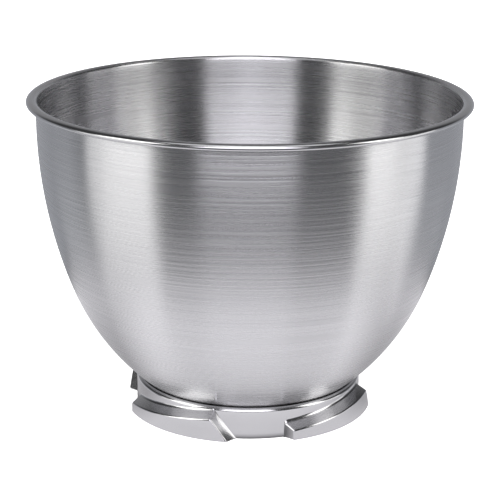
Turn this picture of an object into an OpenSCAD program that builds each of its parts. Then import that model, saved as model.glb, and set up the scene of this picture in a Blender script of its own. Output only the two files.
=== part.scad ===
// Bowl of a tilting-head stand mixer: a deep drawn steel bowl with a curled rim,
// welded on a pressed foot ring whose four sloping lugs twist into the mixer's seat.

/* [Bowl] */
// Height from the table to the top of the rim
overall_h = 156; // [150:1:220]
// Outside diameter of the wall just below the rim
mouth_d = 206.2; // [196:0.2:230]
// Thickness of the bowl's steel sheet
bowl_sheet = 0.8; // [0.5:0.1:1.5]
// Height of the upright stretch of wall below the rim
upright_h = 8.2; // [2:0.2:16]
// How far the side has turned from upright where the tighter belly starts
side_turn = 21; // [17:0.5:25]
// Radius of the curve from the belly to the flat bottom, outside
heel_r = 30; // [20:1:36]

/* [Rim] */
// Width of the curled bead, measured outwards from the inside of the wall
bead_w = 5.4; // [4.6:0.1:7]
// Height of the curled bead
bead_h = 3.4; // [3:0.1:4.6]
// Gap left between the bead's free edge and the wall
bead_gap = 0.3; // [0.2:0.05:0.8]

/* [Foot ring] */
// Outside diameter of the ring between the lugs
ring_d = 112; // [104:0.5:118]
// Height of the ring's upright wall, up to its top bend
ring_h = 13.4; // [12.5:0.1:18]
// Thickness of the ring's steel sheet
ring_sheet = 1.5; // [1:0.1:1.8]
// Outside radius of the bend at the top of the ring
bend_r = 2; // [1.9:0.1:3]
// Slope of the bowl's wall where the ring's bend touches it, from upright
seat_turn = 50.5; // [48:0.5:51]
// Width of the welded flange, measured along the bowl
flange_w = 6; // [4:0.5:9]
// Distance along the bowl from the flange's edge to the start of the heel's curve
flange_gap = 1.2; // [0.6:0.2:3]
// Rounding of the foot's lower edge
foot_round = 0.5; // [0.2:0.1:0.7]

/* [Lugs] */
// Number of twist-lock lugs
lug_count = 4; // [3:1:4]
// Diameter over the lugs
lug_d = 123.2; // [118:0.2:127]
// Angle from a lug's low end to its high end, on the outer face
lug_sweep = 51.6; // [40:0.2:56]
// Height of the low end of a lug's ramp, on the outer face
ramp_low_h = 5.1; // [4.5:0.1:6.5]
// Height of the high end of a lug's ramp, on the outer face
ramp_high_h = 10.9; // [9:0.1:11.4]
// Slope of the lug's flanks and of its ramp, from straight outwards
flank_draft = 28; // [20:1:32]
// Lean of the lug's high end, from upright
end_lean = 38; // [25:1:42]
// Direction of the first lug's low end, counted from +X
first_lug_at = 201.2; // [0:0.2:360]

/* [Hidden] */
$fn = 180;
arc_step = 3;
bead_step = 15;
over = 20;

mouth_r = mouth_d / 2;
ring_r = ring_d / 2;
lug_r = lug_d / 2;

// The ring's bend touches the belly here: the bend's centre, then the point of contact
bend_at = [ring_r - bend_r, ring_h];
seat_at = bend_at + bend_r * [-cos(seat_turn), sin(seat_turn)];

// The side's and the belly's curves run smoothly from the upright wall to the point of contact.
// Their radii are the only two that span the way left from one to the other.
upright_at = [mouth_r, overall_h - bead_h / 2 - upright_h];
span = upright_at - seat_at;
side_share = [1 - cos(side_turn), sin(side_turn)];
belly_share = [cos(side_turn) - cos(seat_turn), sin(seat_turn) - sin(side_turn)];
side_r = crossed(span, belly_share) / crossed(side_share, belly_share);
belly_r = crossed(side_share, span) / crossed(side_share, belly_share);
side_at = upright_at - [side_r, 0];
belly_at = seat_at + belly_r * [-cos(seat_turn), sin(seat_turn)];

// How far the flange reaches down the belly, and where the heel's curve starts
flange_turn = flange_w / belly_r * 180 / PI;
flange_end = seat_turn + flange_turn;
belly_end = flange_end + flange_gap / belly_r * 180 / PI;
heel_at = belly_at + (belly_r - heel_r) * [cos(belly_end), -sin(belly_end)];
bowl_bottom_z = heel_at[1] - heel_r;

bead_at = [mouth_r - bowl_sheet + bead_w / 2, overall_h - bead_h / 2];
bead_end = -acos((mouth_r + bead_gap - bead_at[0]) / (bead_w / 2));

// Length of the cross product of two flat vectors
function crossed(a, b) = a[0] * b[1] - a[1] * b[0];

// Points on a round stretch, by how far the outside has turned from upright
function turned(centre, radius, from, to, step = arc_step) =
    let (parts = max(1, ceil(abs(to - from) / step)))
    [for (i = [0 : parts])
        let (turn = from + (to - from) * i / parts)
        centre + radius * [cos(turn), -sin(turn)]];

// Points on an oval stretch, by the angle from straight outwards
function oval(centre, half_w, half_h, from, to, step = bead_step) =
    let (parts = ceil(abs(to - from) / step))
    [for (i = [0 : parts])
        let (at = from + (to - from) * i / parts)
        centre + [half_w * cos(at), half_h * sin(at)]];

// One face of the bowl's sheet below the rim, set inwards from the outside face
function bowl_face(inset) = concat(
    turned(side_at, side_r - inset, 0, side_turn),
    turned(belly_at, belly_r - inset, side_turn + arc_step, seat_turn),
    turned(belly_at, belly_r - inset, seat_turn + flange_turn / 2, flange_end, flange_turn / 2),
    turned(heel_at, heel_r - inset, belly_end, 90),
    [[0, bowl_bottom_z + inset]]);

function reversed(points) = [for (i = [len(points) - 1 : -1 : 0]) points[i]];

// The drawn bowl: one sheet from the flat bottom to the free edge of the curled rim
module bowl() {
    color("silver")
    rotate_extrude()
    polygon(concat(
        bowl_face(0),
        reversed(bowl_face(bowl_sheet)),
        oval(bead_at, bead_w / 2, bead_h / 2, 180, bead_end),
        oval(bead_at, bead_w / 2 - bowl_sheet, bead_h / 2 - bowl_sheet, bead_end, 180)));
}

// Section of the foot ring: upright wall, top bend, and the flange that lies under the bowl
module ring_section() {
    inside_r = ring_r - ring_sheet;
    polygon(concat(
        [[inside_r + foot_round, 0], [ring_r - foot_round, 0], [ring_r, foot_round]],
        [for (turn = [0 : bead_step : 180 - seat_turn])
            bend_at + bend_r * [cos(turn), sin(turn)]],
        turned(belly_at, belly_r, seat_turn, flange_end, flange_turn / 2),
        turned(belly_at, belly_r + ring_sheet, flange_end, seat_turn, flange_turn / 2),
        [[inside_r, bend_at[1]], [inside_r, foot_round]]));
}

// Everything beyond a flank that passes through the outer corner at this radius, on the
// +Y side for side = 1 and on the -Y side for side = -1
module beyond_flank(radius, lean, draft, side) {
    translate([radius, 0, 0])
    rotate([lean, 0, 0])
    rotate([0, 0, -side * draft])
    translate([-lug_d, side > 0 ? 0 : -lug_d, -lug_r])
    cube([2 * lug_d, lug_d, lug_d]);
}

// The space under a cone whose axis is tipped so that its edge climbs from end to end
module under_ramp(outer_r, mid_z) {
    rise = ramp_high_h - ramp_low_h;
    tip = atan(rise / (2 * lug_r * sin(lug_sweep / 2)));
    base_r = outer_r + lug_r / tan(flank_draft);
    top_r = outer_r / 2;
    translate([0, 0, mid_z])
    rotate([tip, 0, 0])
    translate([0, 0, -lug_r])
    cylinder(h = (base_r - top_r) * tan(flank_draft), r1 = base_r, r2 = top_r);
}

// One lug, with its middle along +X. The inside of the pressing is the same form, set in
module lug_form(inset) {
    outer_r = lug_r - inset;
    half = lug_sweep / 2;
    end_shift = ramp_high_h * tan(end_lean) / lug_r * 180 / PI;
    start_z = inset > 0 ? -1 : 0;
    // Along the outer face, the flanks and ramp move in by the sheet measured square to them
    side_in = inset / cos(flank_draft) - inset * tan(flank_draft);
    difference() {
        intersection() {
            translate([0, 0, start_z]) cylinder(h = ring_h + bend_r / 2 - start_z, r = outer_r);
            under_ramp(outer_r, (ramp_low_h + ramp_high_h) / 2 - side_in);
        }
        cylinder(h = 6 * over, r = ring_r - 4 * ring_sheet, center = true);
        // The half of the ring that the flanks leave
        translate([-2 * lug_r, -lug_r - over, -2 * over])
        cube([2 * lug_r + lug_r / 3, 2 * (lug_r + over), 4 * over]);
        // Low end
        rotate([0, 0, -half])
        translate([0, side_in, 0])
        beyond_flank(outer_r, 0, flank_draft, -1);
        // Leaning high end
        rotate([0, 0, half + end_shift])
        translate([0, -side_in / cos(end_lean), 0])
        beyond_flank(outer_r, end_lean, flank_draft, 1);
    }
}

module each_lug() {
    for (i = [0 : lug_count - 1])
        rotate([0, 0, first_lug_at + lug_sweep / 2 + i * 360 / lug_count])
        children();
}

// The foot ring: one pressing, open below, with a hollow lug at every bayonet slot
module foot_ring() {
    color("gainsboro")
    difference() {
        union() {
            rotate_extrude() ring_section();
            difference() {
                each_lug() lug_form(0);
                cylinder(h = 6 * over, r = ring_r - ring_sheet / 2, center = true);
            }
        }
        difference() {
            each_lug() lug_form(ring_sheet);
            cylinder(h = 6 * over, r = ring_r - ring_sheet - 0.01, center = true);
        }
    }
}

bowl();
foot_ring();
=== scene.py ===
import math

import bpy
import bmesh
from mathutils import Matrix, Vector


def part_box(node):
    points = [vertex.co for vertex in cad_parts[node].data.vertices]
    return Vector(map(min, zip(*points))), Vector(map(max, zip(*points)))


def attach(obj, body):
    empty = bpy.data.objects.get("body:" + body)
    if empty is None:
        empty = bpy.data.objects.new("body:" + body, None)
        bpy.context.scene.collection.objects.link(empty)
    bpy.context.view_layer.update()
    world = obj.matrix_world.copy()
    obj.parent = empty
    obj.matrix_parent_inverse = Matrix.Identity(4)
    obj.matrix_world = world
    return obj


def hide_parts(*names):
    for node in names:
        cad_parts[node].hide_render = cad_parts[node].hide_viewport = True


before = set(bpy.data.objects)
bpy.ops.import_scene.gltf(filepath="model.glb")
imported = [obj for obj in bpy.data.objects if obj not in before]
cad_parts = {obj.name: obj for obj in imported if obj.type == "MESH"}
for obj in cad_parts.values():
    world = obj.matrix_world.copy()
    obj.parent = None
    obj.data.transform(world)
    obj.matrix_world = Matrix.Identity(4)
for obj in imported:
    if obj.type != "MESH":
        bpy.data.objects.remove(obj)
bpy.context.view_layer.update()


# The bowl
# One disc of 0.8 mm stainless steel, deep drawn in one piece. Its edge is curled outwards and
# down into a small bead, and the sheet is brushed on a lathe, so fine lines run round its axis.
MM = 0.001
bowl_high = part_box("bowl")[1]
BOWL_SHEET = 0.8 * MM
BEAD_WIDTH = 5.4 * MM
BEAD_HEIGHT = 3.4 * MM
BEAD_GAP = 0.3 * MM
UPRIGHT = 8.2 * MM
SIDE_TURN = math.radians(21)
SEAT_SLOPE = math.radians(50.5)
HEEL_CURVE = 30 * MM
FLANGE_WIDTH = 6 * MM
FLANGE_GAP = 1.2 * MM
RING_RADIUS = 56 * MM
RING_HEIGHT = 13.4 * MM
RING_BEND = 2 * MM
ROUND_STEPS = 256
# Painted shade in the crease over the foot ring is darkest up to the first distance from the seat,
# and ends at the second.
CREASE_SHADE_REACH = (0.3 * MM, 2.2 * MM)
CREASE_SHADE = (0.02, 0.02, 0.02, 1)
# The brushed lines get deeper from the first height to the second.
DEEPER = (40 * MM, 105 * MM)
LINE_DEPTH = 0.07 * MM
BRUSHED_DARK = (0.627, 0.627, 0.636, 1)
BRUSHED_LIGHT = (0.637, 0.637, 0.646, 1)
POLISHED_DARK = (0.56, 0.56, 0.57, 1)
POLISHED_LIGHT = (0.62, 0.62, 0.63, 1)

bead_centre = Vector((bowl_high[0] - BEAD_WIDTH / 2, bowl_high[2] - BEAD_HEIGHT / 2))
wall_inside = bead_centre.x - BEAD_WIDTH / 2
wall_outside = wall_inside + BOWL_SHEET


def facing(turn):
    """The way that the outside of the section faces once it has turned this far from upright."""
    return Vector((math.cos(turn), -math.sin(turn)))


# The ring's bend touches the belly at the seat. The side's and the belly's curves run smoothly
# from the upright wall to the seat, and their radii are the only two that span that way.
bend_centre = Vector((RING_RADIUS - RING_BEND, RING_HEIGHT))
seat = bend_centre - RING_BEND * facing(SEAT_SLOPE)
upright_end = Vector((wall_outside, bead_centre.y - UPRIGHT))
span = upright_end - seat
side_share = Vector((1, 0)) - facing(SIDE_TURN)
belly_share = facing(SIDE_TURN) - facing(SEAT_SLOPE)
side_curve = span.cross(belly_share) / side_share.cross(belly_share)
belly_curve = side_share.cross(span) / side_share.cross(belly_share)
side_centre = upright_end - Vector((side_curve, 0))
belly_centre = seat - belly_curve * facing(SEAT_SLOPE)
flange_turn = FLANGE_WIDTH / belly_curve
belly_end = SEAT_SLOPE + flange_turn + FLANGE_GAP / belly_curve
heel_centre = belly_centre + (belly_curve - HEEL_CURVE) * facing(belly_end)


def start_section(name, x, z):
    """A new mesh of one selected point in the XZ plane, left in edit mode."""
    bpy.ops.object.select_all(action="DESELECT")
    bpy.ops.mesh.primitive_plane_add(size=MM, location=(x, 0, z))
    piece = bpy.context.object
    piece.name = name
    bpy.ops.object.transform_apply(location=True, rotation=True, scale=True)
    bpy.ops.object.mode_set(mode="EDIT")
    bpy.ops.mesh.select_mode(type="VERT")
    bpy.ops.mesh.select_all(action="SELECT")
    bpy.ops.mesh.merge(type="CENTER")
    return piece


def draw_line(x, z, steps=1):
    """Draws the section on by a straight stretch, x outwards and z up."""
    stretch = {"value": (x / steps, 0, z / steps)}
    for _ in range(steps):
        bpy.ops.mesh.extrude_vertices_move(TRANSFORM_OT_translate=stretch)


def draw_arc(centre, turn, steps):
    """Draws the section on round a centre, clockwise seen from the front for a plus turn."""
    axis = (0, -math.copysign(1, turn), 0)
    bpy.ops.mesh.spin(steps=steps, angle=abs(turn), center=(centre[0], 0, centre[1]), axis=axis)


def select_points(piece, wanted):
    """Selects the points that a test on their place accepts, and the faces that they enclose."""
    bpy.ops.mesh.select_mode(type="VERT")
    bpy.ops.mesh.select_all(action="DESELECT")
    mesh = bmesh.from_edit_mesh(piece.data)
    for point in mesh.verts:
        point.select = wanted(point.co)
    mesh.select_flush(True)
    bmesh.update_edit_mesh(piece.data)


def select_edges(piece, wanted):
    """Selects the edges that a test on their two ends accepts."""
    bpy.ops.mesh.select_mode(type="EDGE")
    bpy.ops.mesh.select_all(action="DESELECT")
    mesh = bmesh.from_edit_mesh(piece.data)
    for edge in mesh.edges:
        edge.select = wanted(edge.verts[0].co, edge.verts[1].co)
    bmesh.update_edit_mesh(piece.data)


def select_faces(piece, wanted):
    """Selects the faces that a test on their middle accepts."""
    bpy.ops.mesh.select_all(action="DESELECT")
    bpy.ops.mesh.select_mode(type="FACE")
    mesh = bmesh.from_edit_mesh(piece.data)
    for face in mesh.faces:
        face.select = wanted(face.calc_center_median())
    bmesh.update_edit_mesh(piece.data)


def turn_section(steps=ROUND_STEPS):
    """Turns the drawn section once round the axis, closed, with its widest face outwards."""
    bpy.ops.mesh.select_all(action="SELECT")
    bpy.ops.mesh.spin(steps=steps, angle=2 * math.pi, center=(0, 0, 0), axis=(0, 0, 1))
    bpy.ops.mesh.select_all(action="SELECT")
    bpy.ops.mesh.remove_doubles(threshold=0.001 * MM)
    bpy.ops.mesh.normals_make_consistent(inside=False)
    mesh = bmesh.from_edit_mesh(bpy.context.object.data)
    widest = max(mesh.faces, key=lambda face: face.calc_center_median().xy.length)
    if widest.normal.xy.dot(widest.calc_center_median().xy) < 0:
        bpy.ops.mesh.flip_normals()


def apply_modifier(piece, kind, **settings):
    """Adds a modifier and applies it at once."""
    bpy.context.view_layer.objects.active = piece
    modifier = piece.modifiers.new(kind.title(), kind)
    for name, value in settings.items():
        setattr(modifier, name, value)
    bpy.ops.object.modifier_apply(modifier=modifier.name)


def smooth(piece, sharpest):
    """Shades a finished piece smooth, apart from edges sharper than this many degrees."""
    bpy.ops.object.select_all(action="DESELECT")
    piece.select_set(True)
    bpy.context.view_layer.objects.active = piece
    bpy.ops.object.shade_smooth_by_angle(angle=math.radians(sharpest))


inside_bottom = heel_centre.y - HEEL_CURVE + BOWL_SHEET
bowl = start_section("steel_bowl", 0, inside_bottom)
draw_line(heel_centre.x, 0, steps=4)
draw_arc(heel_centre, -(math.pi / 2 - belly_end), steps=10)
draw_arc(belly_centre, -(belly_end - SIDE_TURN), steps=24)
draw_arc(side_centre, -SIDE_TURN, steps=24)
draw_line(0, UPRIGHT, steps=4)
curl_turn = math.pi + math.acos((wall_outside + BEAD_GAP - bead_centre.x) / (BEAD_WIDTH / 2))
draw_arc(bead_centre, curl_turn, steps=28)
select_points(bowl, lambda at: at.x > wall_inside + 0.01 * MM)
bpy.ops.transform.resize(value=(1, 1, BEAD_HEIGHT / BEAD_WIDTH),
                         center_override=(bead_centre.x, 0, bead_centre.y))
turn_section()
bpy.ops.object.mode_set(mode="OBJECT")
apply_modifier(bowl, "SOLIDIFY", thickness=BOWL_SHEET, offset=-1, use_even_offset=True)
smooth(bowl, 40)


class Reading:
    """A number that changes over a surface. Arithmetic on it adds Math nodes."""

    def __init__(self, nodes, socket):
        self.nodes = nodes
        self.socket = socket

    def __add__(self, other):
        return self.nodes.maths("ADD", self, other)

    def __sub__(self, other):
        return self.nodes.maths("SUBTRACT", self, other)

    def __mul__(self, other):
        return self.nodes.maths("MULTIPLY", self, other)

    def __truediv__(self, other):
        return self.nodes.maths("DIVIDE", self, other)

    def __pow__(self, other):
        return self.nodes.maths("POWER", self, other)

    def __rsub__(self, other):
        return self.nodes.maths("SUBTRACT", other, self)

    __radd__ = __add__
    __rmul__ = __mul__


class Nodes:
    """A node tree being made, of a material or of the room round the bowl."""

    def __init__(self, tree):
        self.tree = tree

    def set(self, node, values):
        """Sets sockets by name or number, and links those that are given a Reading."""
        for name, value in values.items():
            socket = node.inputs[name.replace("_", " ") if isinstance(name, str) else name]
            if isinstance(value, Reading):
                self.tree.links.new(value.socket, socket)
            else:
                socket.default_value = value

    def node(self, kind, settings=None, values=None, output=0):
        """Adds any node: its settings first, then the values or links of its sockets."""
        node = self.tree.nodes.new("ShaderNode" + kind)
        for name, value in (settings or {}).items():
            setattr(node, name, value)
        self.set(node, values or {})
        return Reading(self, node.outputs[output])

    def maths(self, operation, *terms):
        """A Math node on readings or numbers."""
        return self.node("Math", {"operation": operation}, dict(enumerate(terms)))

    def between(self, reading, low, high):
        """The reading spread from 0 at low to 1 at high, and held there."""
        return self.node("MapRange", {"clamp": True},
                         {"Value": reading, "From Min": low, "From Max": high})

    def colours(self, factor, dark, light):
        """A colour between two, by a factor."""
        return self.node("Mix", {"data_type": "RGBA"}, {0: factor, 6: dark, 7: light}, output=2)

    def parts(self, vector):
        """The x, y and z of a vector."""
        node = self.node("SeparateXYZ", values={0: vector}).socket.node
        return [Reading(self, output) for output in node.outputs]


class Finish(Nodes):
    """A material being made, with one shader."""

    def __init__(self, name, **settings):
        self.material = bpy.data.materials.new(name)
        self.material.use_nodes = True
        super().__init__(self.material.node_tree)
        self.shader = self.tree.nodes["Principled BSDF"]
        self.set(self.shader, settings)

    def place(self):
        """The x, y, z and the distance from the axis of a point, in metres."""
        x, y, z = self.parts(self.node("TexCoord", output="Object"))
        return x, y, z, (x * x + y * y) ** 0.5

    def brushing(self, length, width):
        """Lines brushed round the axis, 0 to 1, of about this length and width in metres."""
        x, y, z, out = self.place()
        spot = self.node("CombineXYZ", values={0: x / length, 1: y / length, 2: z / width})
        return self.node("TexNoise", {"noise_dimensions": "4D"},
                         {"Vector": spot, "W": out / width, "Scale": 1.0, "Detail": 2.0})

    def crease(self, colour):
        """The colour, darkened by painted shade in the crease over the foot ring."""
        x, y, z, out = self.place()
        across, up = out - seat.x, z - seat.y
        away = (across * across + up * up) ** 0.5
        beneath = across * math.cos(SEAT_SLOPE) - up * math.sin(SEAT_SLOPE)
        unshaded = self.between(away, *CREASE_SHADE_REACH)
        inside = 1 - self.between(beneath, -0.6 * BOWL_SHEET, -0.3 * BOWL_SHEET)
        # Painted shade: the base colour goes dark in the crease where the belly meets the ring's
        # bend.
        return self.colours(self.maths("MAXIMUM", unshaded, inside), CREASE_SHADE, colour)


brushed = Finish("brushed_stainless_steel", Metallic=1.0, Anisotropic=1.0,
                 Anisotropic_Rotation=0.25)
streaks = brushed.brushing(length=60 * MM, width=0.3 * MM)
scratches = brushed.brushing(length=120 * MM, width=1.1 * MM)
lines = brushed.between(streaks * 0.15 + scratches * 0.85, 0.3, 0.7)
# The lines are shallower inside the bowl than outside, and low down than near the rim.
x, y, z, out = brushed.place()
facing_x, facing_y, _ = brushed.parts(brushed.node("NewGeometry", output="Normal"))
outside = brushed.between(facing_x * x + facing_y * y, 0.0, 0.01)
depth = (0.25 + 0.75 * brushed.between(z, *DEEPER)) * (0.65 + 0.35 * outside) * lines
# The base colour carries painted shade in the crease over the foot ring.
brushed.set(brushed.shader, {
    "Base Color": brushed.crease(brushed.colours(lines, BRUSHED_DARK, BRUSHED_LIGHT)),
    "Roughness": 0.235 + lines * 0.07,
    "Normal": brushed.node("Bump", values={"Strength": 1.0, "Distance": LINE_DEPTH,
                                           "Height": depth})})

polished = Finish("polished_stainless_steel", Metallic=1.0)
spot = polished.node("TexCoord", output="Object")
smudges = polished.node("TexNoise", values={"Vector": spot, "Scale": 60.0, "Detail": 3.0})
# The base colour carries painted shade in the crease over the foot ring.
polished.set(polished.shader, {
    "Base Color": polished.crease(polished.colours(smudges, POLISHED_DARK, POLISHED_LIGHT)),
    "Roughness": 0.12 + smudges * 0.08})

bowl.data.materials.append(brushed.material)
bowl.data.materials.append(polished.material)
bpy.ops.object.mode_set(mode="EDIT")
# The bead is polished, from its top outwards and down.
select_faces(bowl, lambda at: at.xy.length > wall_inside + 1 * MM
             and at.z > bead_centre.y - BEAD_HEIGHT)
bowl.active_material_index = 1
bpy.ops.object.material_slot_assign()
bpy.ops.object.mode_set(mode="OBJECT")
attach(bowl, "root")
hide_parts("bowl")


# The foot ring
# A ring pressed from 1.5 mm stainless steel and polished. Its flange is spot welded under the
# bowl, and four hollow lugs with a climbing ledge are pressed out of its wall to lock it down.
RING_SHEET = 1.5 * MM
RING_INSIDE = RING_RADIUS - RING_SHEET
FOOT_ROUND = 0.5 * MM
# The flange is drawn this far off the belly, so that the two pieces do not share a face.
FLANGE_PLAY = 0.05 * MM
LUG_RADIUS = 61.6 * MM
LUG_COUNT = 4
FIRST_LUG = math.radians(201.2)
LUG_SWEEP = math.radians(51.6)
RAMP_LOW = 5.1 * MM
RAMP_HIGH = 10.9 * MM
DRAFT = math.radians(28)
END_LEAN = math.radians(38)
LUG_EDGE = 0.7 * MM
LEDGE_CURVE = 2 * MM
LUG_STEPS = 48
# A lug's hollow runs on this far inside the ring's wall and below its foot, to cut clean.
HOLLOW_OVERLAP = 0.2 * MM
HOLLOW_DROP = 1 * MM
# A lug is cut from a longer block, which runs on this far past its low end and its high end.
SPARE_LOW = math.radians(10)
SPARE_HIGH = math.radians(20)

ring = start_section("steel_foot_ring", RING_RADIUS, 0)
draw_line(0, RING_HEIGHT, steps=8)
draw_arc(bend_centre, SEAT_SLOPE - math.pi, steps=12)
draw_line(*(FLANGE_PLAY * facing(SEAT_SLOPE)))
draw_arc(belly_centre, flange_turn, steps=4)
turn_section(steps=288)
bpy.ops.object.mode_set(mode="OBJECT")
apply_modifier(ring, "SOLIDIFY", thickness=RING_SHEET, offset=-1, use_even_offset=True)
bpy.ops.object.mode_set(mode="EDIT")
select_edges(ring, lambda start, end: max(start.z, end.z) < 0.01 * MM
             and abs(start.xy.length - end.xy.length) < 0.01 * MM)
bpy.ops.mesh.bevel(offset=FOOT_ROUND, segments=3)
bpy.ops.object.mode_set(mode="OBJECT")


def lug_block(name, inset):
    """A lug's outside, or the hollow inside it when set in by the sheet, middle along +X."""
    outer = LUG_RADIUS - inset
    inner = RING_INSIDE - HOLLOW_OVERLAP if inset else RING_INSIDE + RING_SHEET / 2
    bottom = -HOLLOW_DROP if inset else 0
    shift = inset / math.cos(DRAFT) - inset * math.tan(DRAFT)
    half = LUG_SWEEP / 2
    before, after = half + SPARE_LOW, half + SPARE_HIGH
    ledge_slope = math.tan(DRAFT)
    middle = (RAMP_LOW + RAMP_HIGH) / 2 - shift
    climb = (RAMP_HIGH - RAMP_LOW) / 2 / math.sin(half)
    block = start_section(name, inner, bottom)
    draw_line(outer - inner, 0)
    draw_line(0, middle - bottom)
    if inset:
        draw_line(inner - outer, (outer - inner) * ledge_slope)
    else:
        # The ledge ends in a hollow curve against the ring's wall.
        meeting = math.pi / 2 - DRAFT
        curve_length = LEDGE_CURVE * math.tan(meeting / 2)
        ledge = (outer - RING_RADIUS) / math.cos(DRAFT) - curve_length
        draw_line(-ledge * math.cos(DRAFT), ledge * math.sin(DRAFT))
        curve_z = middle + (outer - RING_RADIUS) * ledge_slope + curve_length
        curve_centre = Vector((RING_RADIUS + LEDGE_CURVE, curve_z))
        draw_arc(curve_centre, meeting - math.radians(6), steps=6)
        draw_line(inner - RING_RADIUS, 2 * MM)
    bpy.ops.mesh.select_all(action="SELECT")
    bpy.ops.mesh.edge_face_add()
    bpy.ops.mesh.select_all(action="SELECT")
    bpy.ops.mesh.spin(steps=LUG_STEPS, angle=before + after, center=(0, 0, 0), axis=(0, 0, -1))
    bpy.ops.object.mode_set(mode="OBJECT")
    block.data.transform(Matrix.Rotation(-before, 4, "Z"))
    bpy.ops.object.mode_set(mode="EDIT")
    for step in range(LUG_STEPS + 1):
        angle = -before + (before + after) * step / LUG_STEPS
        select_points(block, lambda at: at.z > bottom + 1 * MM
                      and abs(math.atan2(at.y, at.x) - angle) < math.radians(0.1))
        bpy.ops.transform.translate(value=(0, 0, climb * math.sin(angle)))
    # The low end is upright. The high end leans, so its foot reaches past the end of the ramp.
    high_foot = half + RAMP_HIGH * math.tan(END_LEAN) / LUG_RADIUS
    for side, azimuth, lean in ((-1, -half, 0.0), (1, high_foot, END_LEAN)):
        turned = Matrix.Rotation(azimuth, 3, "Z")
        slope = turned @ Matrix.Rotation(lean, 3, "X") @ Matrix.Rotation(-side * DRAFT, 3, "Z")
        corner = turned @ Vector((outer, -side * shift / math.cos(lean), 0))
        bpy.ops.mesh.select_all(action="SELECT")
        bpy.ops.mesh.bisect(plane_co=corner, plane_no=slope @ Vector((0, side, 0)),
                            use_fill=True, clear_outer=True)
    bpy.ops.mesh.select_all(action="SELECT")
    bpy.ops.mesh.remove_doubles(threshold=0.001 * MM)
    bpy.ops.mesh.normals_make_consistent(inside=False)
    bpy.ops.object.mode_set(mode="OBJECT")
    return block


def four_round(block):
    """The block copied to all lugs' places, as one mesh."""
    copies = []
    for number in range(LUG_COUNT):
        copy = block.copy()
        copy.data = block.data.copy()
        bpy.context.collection.objects.link(copy)
        azimuth = FIRST_LUG + LUG_SWEEP / 2 + number * 2 * math.pi / LUG_COUNT
        copy.data.transform(Matrix.Rotation(azimuth, 4, "Z"))
        copies.append(copy)
    bpy.data.objects.remove(block)
    bpy.ops.object.select_all(action="DESELECT")
    for copy in copies:
        copy.select_set(True)
    bpy.context.view_layer.objects.active = copies[0]
    bpy.ops.object.join()
    return copies[0]


lug = lug_block("lug", 0)
apply_modifier(lug, "BEVEL", width=LUG_EDGE, segments=3, limit_method="ANGLE",
               angle_limit=math.radians(30), use_clamp_overlap=False)
bpy.ops.object.mode_set(mode="EDIT")
bpy.ops.mesh.select_all(action="SELECT")
bpy.ops.mesh.bisect(plane_co=(0, 0, RING_HEIGHT + RING_BEND / 2), plane_no=(0, 0, 1),
                    use_fill=True, clear_outer=True)
bpy.ops.object.mode_set(mode="OBJECT")
lugs = four_round(lug)
hollows = four_round(lug_block("lug_hollow", RING_SHEET))
apply_modifier(ring, "BOOLEAN", operation="UNION", object=lugs, solver="MANIFOLD")
apply_modifier(ring, "BOOLEAN", operation="DIFFERENCE", object=hollows, solver="MANIFOLD")
bpy.data.objects.remove(lugs)
bpy.data.objects.remove(hollows)
smooth(ring, 30)
apply_modifier(ring, "WEIGHTED_NORMAL", keep_sharp=True)
ring.data.materials.clear()
ring.data.materials.append(polished.material)
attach(ring, "root")
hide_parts("foot_ring")


# The table
# A wide white table, and a round glowing sheet on it that the steel mirrors, with the table's
# light and shade painted into its glow: a painted shadow round the foot ring and painted light
# further out. The wide table is kept out of the reflections, because the steel shows a dark room
# beyond the sheet.
TABLE_SIZE = 12.0
SHEET_RADIUS = 0.22
SHEET_DROP = 0.2 * MM
SHEET_FADE = 50 * MM
SHEET_TINT = (1, 0.984, 1.022, 1)
# Distances from the axis: the ring's painted shadow on the sheet, then where the sheet's painted
# light gets brighter.
RING_SHADOW = (56.5 * MM, 63 * MM)
BRIGHTER = (75 * MM, 120 * MM)
BRIGHTER_BEHIND = (115 * MM, 180 * MM)
bpy.ops.object.select_all(action="DESELECT")
bpy.ops.mesh.primitive_plane_add(size=TABLE_SIZE)
table = bpy.context.object
table.name = "table"
paper = Finish("white_table", Base_Color=(0.9, 0.9, 0.9, 1), Roughness=0.6,
               Emission_Color=(1, 1, 1, 1), Emission_Strength=1.0)
table.data.materials.append(paper.material)
table.visible_glossy = False
bpy.ops.mesh.primitive_circle_add(vertices=96, radius=SHEET_RADIUS, fill_type="NGON",
                                  location=(0, 0, -SHEET_DROP))
sheet = bpy.context.object
sheet.name = "bright_sheet"
shining = Finish("bright_sheet", Base_Color=(0, 0, 0, 1), Roughness=1.0, Emission_Strength=1.15)
x, y, z, out = shining.place()
# Painted shadow: the sheet's glow is dimmed round the foot ring, where the bowl shades the table.
painted_ring_shadow = 1 - shining.between(out, *RING_SHADOW)
fading = shining.between(out, SHEET_RADIUS - SHEET_FADE, SHEET_RADIUS)
in_front = shining.between((0 - y) / out, 0.1, 0.6)
lit = shining.maths("MAXIMUM", in_front, shining.between(out, *BRIGHTER_BEHIND))
# Painted light: the glow is brighter further out, in front and behind, as the table is lit there.
brightness = ((0.80 + 0.20 * shining.between(out, *BRIGHTER)) * (0.55 + 0.45 * lit)
              * (1 - 0.8 * painted_ring_shadow) * (1 - 0.85 * fading))
shining.set(shining.shader, {
    "Emission Color": shining.colours(brightness, (0, 0, 0, 1), SHEET_TINT)})
sheet.data.materials.append(shining.material)
sheet.visible_camera = False


# The light
# A dim room with soft boxes, as the steel mirrors them: dim low and bright high ones at the sides,
# a tall one in front and a faint one overhead. The camera itself sees plain white behind the bowl.
FLOOR = (0.13, 0.132, 0.14, 1)
FLOOR_BEHIND = (0.40, 0.41, 0.44, 1)
CEILING = (0.05, 0.05, 0.052, 1)
BACK_WALL = (0.30, 0.30, 0.31, 1)
BACKDROP = (1, 1, 1, 1)
EDGE = 2.0
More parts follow.
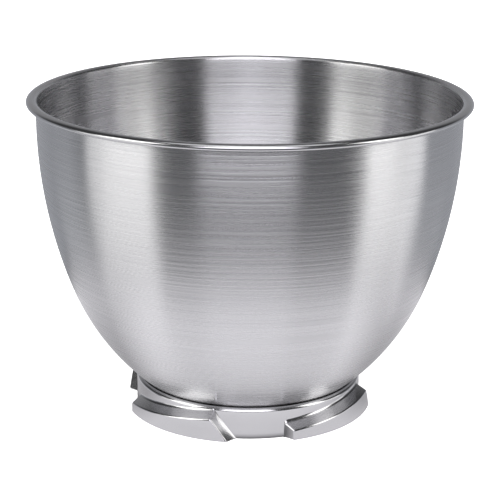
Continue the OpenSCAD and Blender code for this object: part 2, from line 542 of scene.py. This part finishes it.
# Each soft box: the angles that it fills round the bowl, from the front and plus to the right,
# then its angles above the table, all in degrees, then its colour.
SOFT_BOXES = (
    # At the sides and low, as the outside of the wall mirrors them
    ((-95, -53), (-70, 12), (1.0, 0.99, 0.99, 1)),
    ((64, 105), (-70, 12), (1.06, 1.05, 1.05, 1)),
    # Faint light beyond and between those two
    ((-138, -95), (-50, -22), (0.28, 0.28, 0.28, 1)),
    ((105, 150), (-50, -22), (0.20, 0.20, 0.20, 1)),
    ((-57, -31), (-56, -30), (0.14, 0.14, 0.14, 1)),
    ((33, 67), (-56, -30), (0.18, 0.18, 0.18, 1)),
    # At the sides and high, as the inside mirrors them
    ((-84, -49), (10, 45), (2.85, 2.82, 2.77, 1)),
    ((60, 84), (10, 45), (2.85, 2.82, 2.77, 1)),
    # In front, and overhead
    ((-27, 26), (7, 85), (2.4, 2.35, 2.48, 1)),
    ((-182, 182), (66, 92), (0.9, 0.9, 0.92, 1)),
)

world = bpy.data.worlds.new("room")
bpy.context.scene.world = world
world.use_nodes = True
room = Nodes(world.node_tree)


def lit_between(angle, low, high):
    """1 where an angle lies between two others, 0 outside them, with soft edges."""
    return (room.between(angle, low - EDGE, low + EDGE)
            * (1 - room.between(angle, high - EDGE, high + EDGE)))


x, y, z = room.parts(room.node("TexCoord", output="Generated"))
azimuth = room.maths("ARCTAN2", x, 0 - y) * math.degrees(1)
elevation = room.maths("ARCSINE", z) * math.degrees(1)
below = room.colours(room.between(y, 0.0, 0.35), FLOOR, FLOOR_BEHIND)
above = room.colours(room.between(y, 0.6, 0.85), CEILING, BACK_WALL)
light = room.colours(room.between(elevation, 0.0, 15.0), below, above)
for across, up, colour in SOFT_BOXES:
    inside = lit_between(azimuth, *across) * lit_between(elevation, *up)
    light = room.node("Mix", {"data_type": "RGBA", "blend_type": "ADD"},
                      {0: inside, 6: light, 7: colour}, output=2)
seen = room.node("LightPath", output="Is Camera Ray")
room.set(world.node_tree.nodes["Background"], {"Color": room.colours(seen, light, BACKDROP)})


# The camera
# A long lens in front of the bowl and a little above it, as the photograph was taken.
CAMERA_AT = (0, -0.840, 0.3281)
CAMERA_DOWN = 0.2898
CAMERA_ROLL = 0.0073
camera = bpy.data.objects.new("camera", bpy.data.cameras.new("camera"))
bpy.context.collection.objects.link(camera)
camera.data.lens = 127.3
camera.data.sensor_width = 36
camera.data.shift_x = 0.0022
camera.matrix_world = (Matrix.Translation(CAMERA_AT)
                       @ Matrix.Rotation(math.pi / 2 - CAMERA_DOWN, 4, "X")
                       @ Matrix.Rotation(CAMERA_ROLL, 4, "Z"))
bpy.context.scene.camera = camera
bpy.context.scene.view_settings.view_transform = "Standard"
